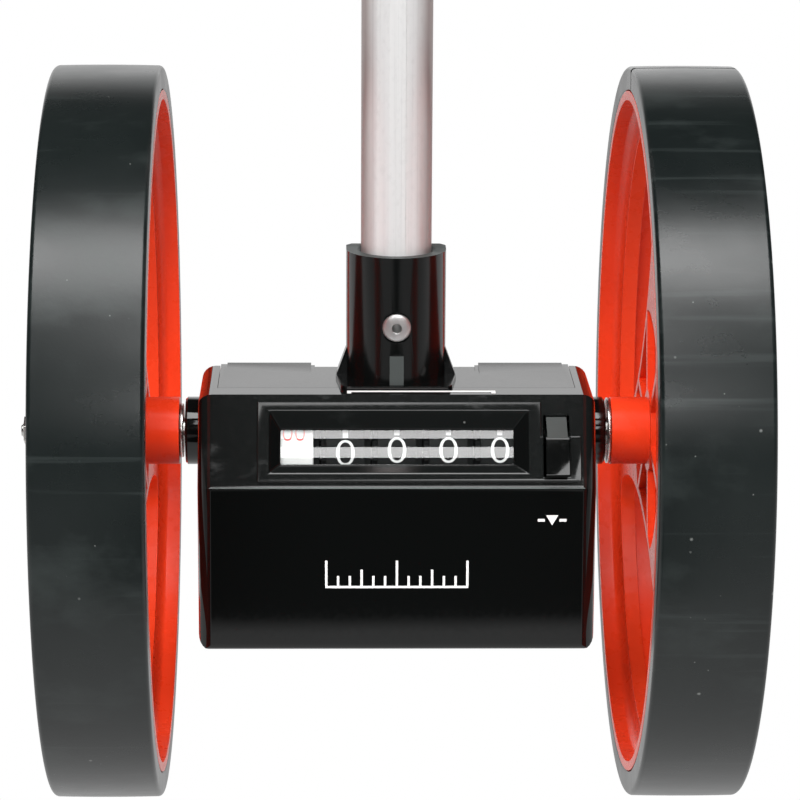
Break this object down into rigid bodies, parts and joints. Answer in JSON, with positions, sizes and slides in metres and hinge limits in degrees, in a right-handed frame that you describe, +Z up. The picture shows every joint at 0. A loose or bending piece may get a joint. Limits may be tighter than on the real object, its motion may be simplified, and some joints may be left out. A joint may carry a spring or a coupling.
{
  "type": "measuring wheel",
  "caption": "Hand-pushed distance measuring wheel: two rubber-tyred wheels on one axle, a counter with a window and reset lever, and a telescopic handle with a grip.",
  "frame": {"origin": "on the ground under the middle of the axle, between the two wheels' contact lines", "axes": "+X along the axle towards the freely turning wheel, -Y towards the counter window, +Z up the handle"},
  "size_m": [0.1632, 0.1592, 0.5746],
  "materials": {
    "housing_plastic": "moulded, glossy black",
    "bush_plastic": "moulded, satin black",
    "guide_plastic": "natural",
    "rim_plastic": "moulded, orange-red, half gloss",
    "tyre_rubber": "dull dark grey, dusty",
    "grip_rubber": "matt",
    "tube_aluminium": "satin anodised, drawn lengthwise",
    "rivet_aluminium": "bright",
    "steel": "zinc plated",
    "gear_brass": "machined",
    "pinion_plastic": "natural",
    "fast_drum": "white with red figures",
    "drum_plastic": "black with white figures",
    "window": "clear acrylic"
  },
  "bodies": {
    "chassis": {"front_housing": "housing_plastic", "rear_cover": "housing_plastic", "top_cover": "housing_plastic", "housing_screws": "steel", "window_bezel": "housing_plastic", "window_lens": "window", "left_bush": "bush_plastic", "right_bush": "bush_plastic", "counter_frame": "steel", "frame_screws": "steel", "drum_shaft": "steel", "pinion_shaft": "steel", "reset_spring": "steel", "lower_tube": "tube_aluminium", "socket_rivet": "rivet_aluminium", "lower_ferrule": "bush_plastic"},
    "drive_wheel": {"axle": "steel", "drive_gear": "gear_brass", "axle_keys": "steel", "axle_nuts": "steel", "hub_washers": "steel", "spacer_washers": "steel", "left_rim": "rim_plastic", "left_tyre": "tyre_rubber"},
    "free_wheel": {"right_rim": "rim_plastic", "right_tyre": "tyre_rubber"},
    "first_drum": {"drum_1": "fast_drum", "input_gear": "gear_brass"},
    "second_drum": {"drum_2": "drum_plastic"},
    "third_drum": {"drum_3": "drum_plastic"},
    "fourth_drum": {"drum_4": "drum_plastic"},
    "fifth_drum": {"drum_5": "drum_plastic"},
    "first_pinion": {"transfer_pinion_1": "pinion_plastic"},
    "second_pinion": {"transfer_pinion_2": "pinion_plastic"},
    "third_pinion": {"transfer_pinion_3": "pinion_plastic"},
    "fourth_pinion": {"transfer_pinion_4": "pinion_plastic"},
    "reset": {"reset_lever": "housing_plastic", "reset_bar": "steel"},
    "lower_lock": {"lower_lock_ring": "bush_plastic"},
    "middle_section": {"middle_tube": "tube_aluminium", "middle_guide": "guide_plastic", "upper_ferrule": "bush_plastic"},
    "upper_lock": {"upper_lock_ring": "bush_plastic"},
    "upper_section": {"upper_tube": "tube_aluminium", "upper_guide": "guide_plastic", "grip": "grip_rubber", "grip_cap": "rim_plastic"}
  },
  "joints": [
    {"name": "wheel_spin", "type": "hinge", "parent": "chassis", "child": "drive_wheel", "pos_m": [0, 0, 0.07958], "axis": [1, 0, 0], "continuous": true},
    {"name": "free_wheel_spin", "type": "hinge", "parent": "chassis", "child": "free_wheel", "pos_m": [0, 0, 0.07958], "axis": [1, 0, 0], "continuous": true},
    {"name": "first_drum_turn", "type": "hinge", "parent": "chassis", "child": "first_drum", "pos_m": [0, -0.01341, 0.07798], "axis": [1, 0, 0], "continuous": true},
    {"name": "second_drum_turn", "type": "hinge", "parent": "chassis", "child": "second_drum", "pos_m": [0, -0.01341, 0.07798], "axis": [1, 0, 0], "continuous": true},
    {"name": "third_drum_turn", "type": "hinge", "parent": "chassis", "child": "third_drum", "pos_m": [0, -0.01341, 0.07798], "axis": [1, 0, 0], "continuous": true},
    {"name": "fourth_drum_turn", "type": "hinge", "parent": "chassis", "child": "fourth_drum", "pos_m": [0, -0.01341, 0.07798], "axis": [1, 0, 0], "continuous": true},
    {"name": "fifth_drum_turn", "type": "hinge", "parent": "chassis", "child": "fifth_drum", "pos_m": [0, -0.01341, 0.07798], "axis": [1, 0, 0], "continuous": true},
    {"name": "first_pinion_turn", "type": "hinge", "parent": "chassis", "child": "first_pinion", "pos_m": [0, -0.00781, 0.06828], "axis": [1, 0, 0], "continuous": true},
    {"name": "second_pinion_turn", "type": "hinge", "parent": "chassis", "child": "second_pinion", "pos_m": [0, -0.00781, 0.06828], "axis": [1, 0, 0], "continuous": true},
    {"name": "third_pinion_turn", "type": "hinge", "parent": "chassis", "child": "third_pinion", "pos_m": [0, -0.00781, 0.06828], "axis": [1, 0, 0], "continuous": true},
    {"name": "fourth_pinion_turn", "type": "hinge", "parent": "chassis", "child": "fourth_pinion", "pos_m": [0, -0.00781, 0.06828], "axis": [1, 0, 0], "continuous": true},
    {"name": "reset_press", "type": "hinge", "parent": "chassis", "child": "reset", "pos_m": [0, -0.009, 0.08858], "axis": [1, 0, 0], "range_deg": [0, 6], "stiffness_Nm_per_rad": 0.4, "springref_deg": -5.73},
    {"name": "lower_lock_twist", "type": "hinge", "parent": "chassis", "child": "lower_lock", "pos_m": [0, -0.0032, 0.40958], "axis": [0, 0, 1], "range_deg": [0, 90]},
    {"name": "middle_slide", "type": "slide", "parent": "chassis", "child": "middle_section", "axis": [0, 0, 1], "range_m": [0, 0.22]},
    {"name": "upper_lock_twist", "type": "hinge", "parent": "middle_section", "child": "upper_lock", "pos_m": [0, -0.0032, 0.45158], "axis": [0, 0, 1], "range_deg": [0, 90]},
    {"name": "upper_slide", "type": "slide", "parent": "middle_section", "child": "upper_section", "axis": [0, 0, 1], "range_m": [0, 0.22]}
  ],
  "couplings": [
    {"joint": "first_drum_turn", "follows": "wheel_spin", "ratio": -0.5},
    {"joint": "second_drum_turn", "follows": "wheel_spin", "ratio": -0.05},
    {"joint": "third_drum_turn", "follows": "wheel_spin", "ratio": -0.005},
    {"joint": "fourth_drum_turn", "follows": "wheel_spin", "ratio": -0.0005},
    {"joint": "fifth_drum_turn", "follows": "wheel_spin", "ratio": -0.00005},
    {"joint": "first_pinion_turn", "follows": "wheel_spin", "ratio": 0.125},
    {"joint": "second_pinion_turn", "follows": "wheel_spin", "ratio": 0.0125},
    {"joint": "third_pinion_turn", "follows": "wheel_spin", "ratio": 0.00125},
    {"joint": "fourth_pinion_turn", "follows": "wheel_spin", "ratio": 0.000125}
  ]
}
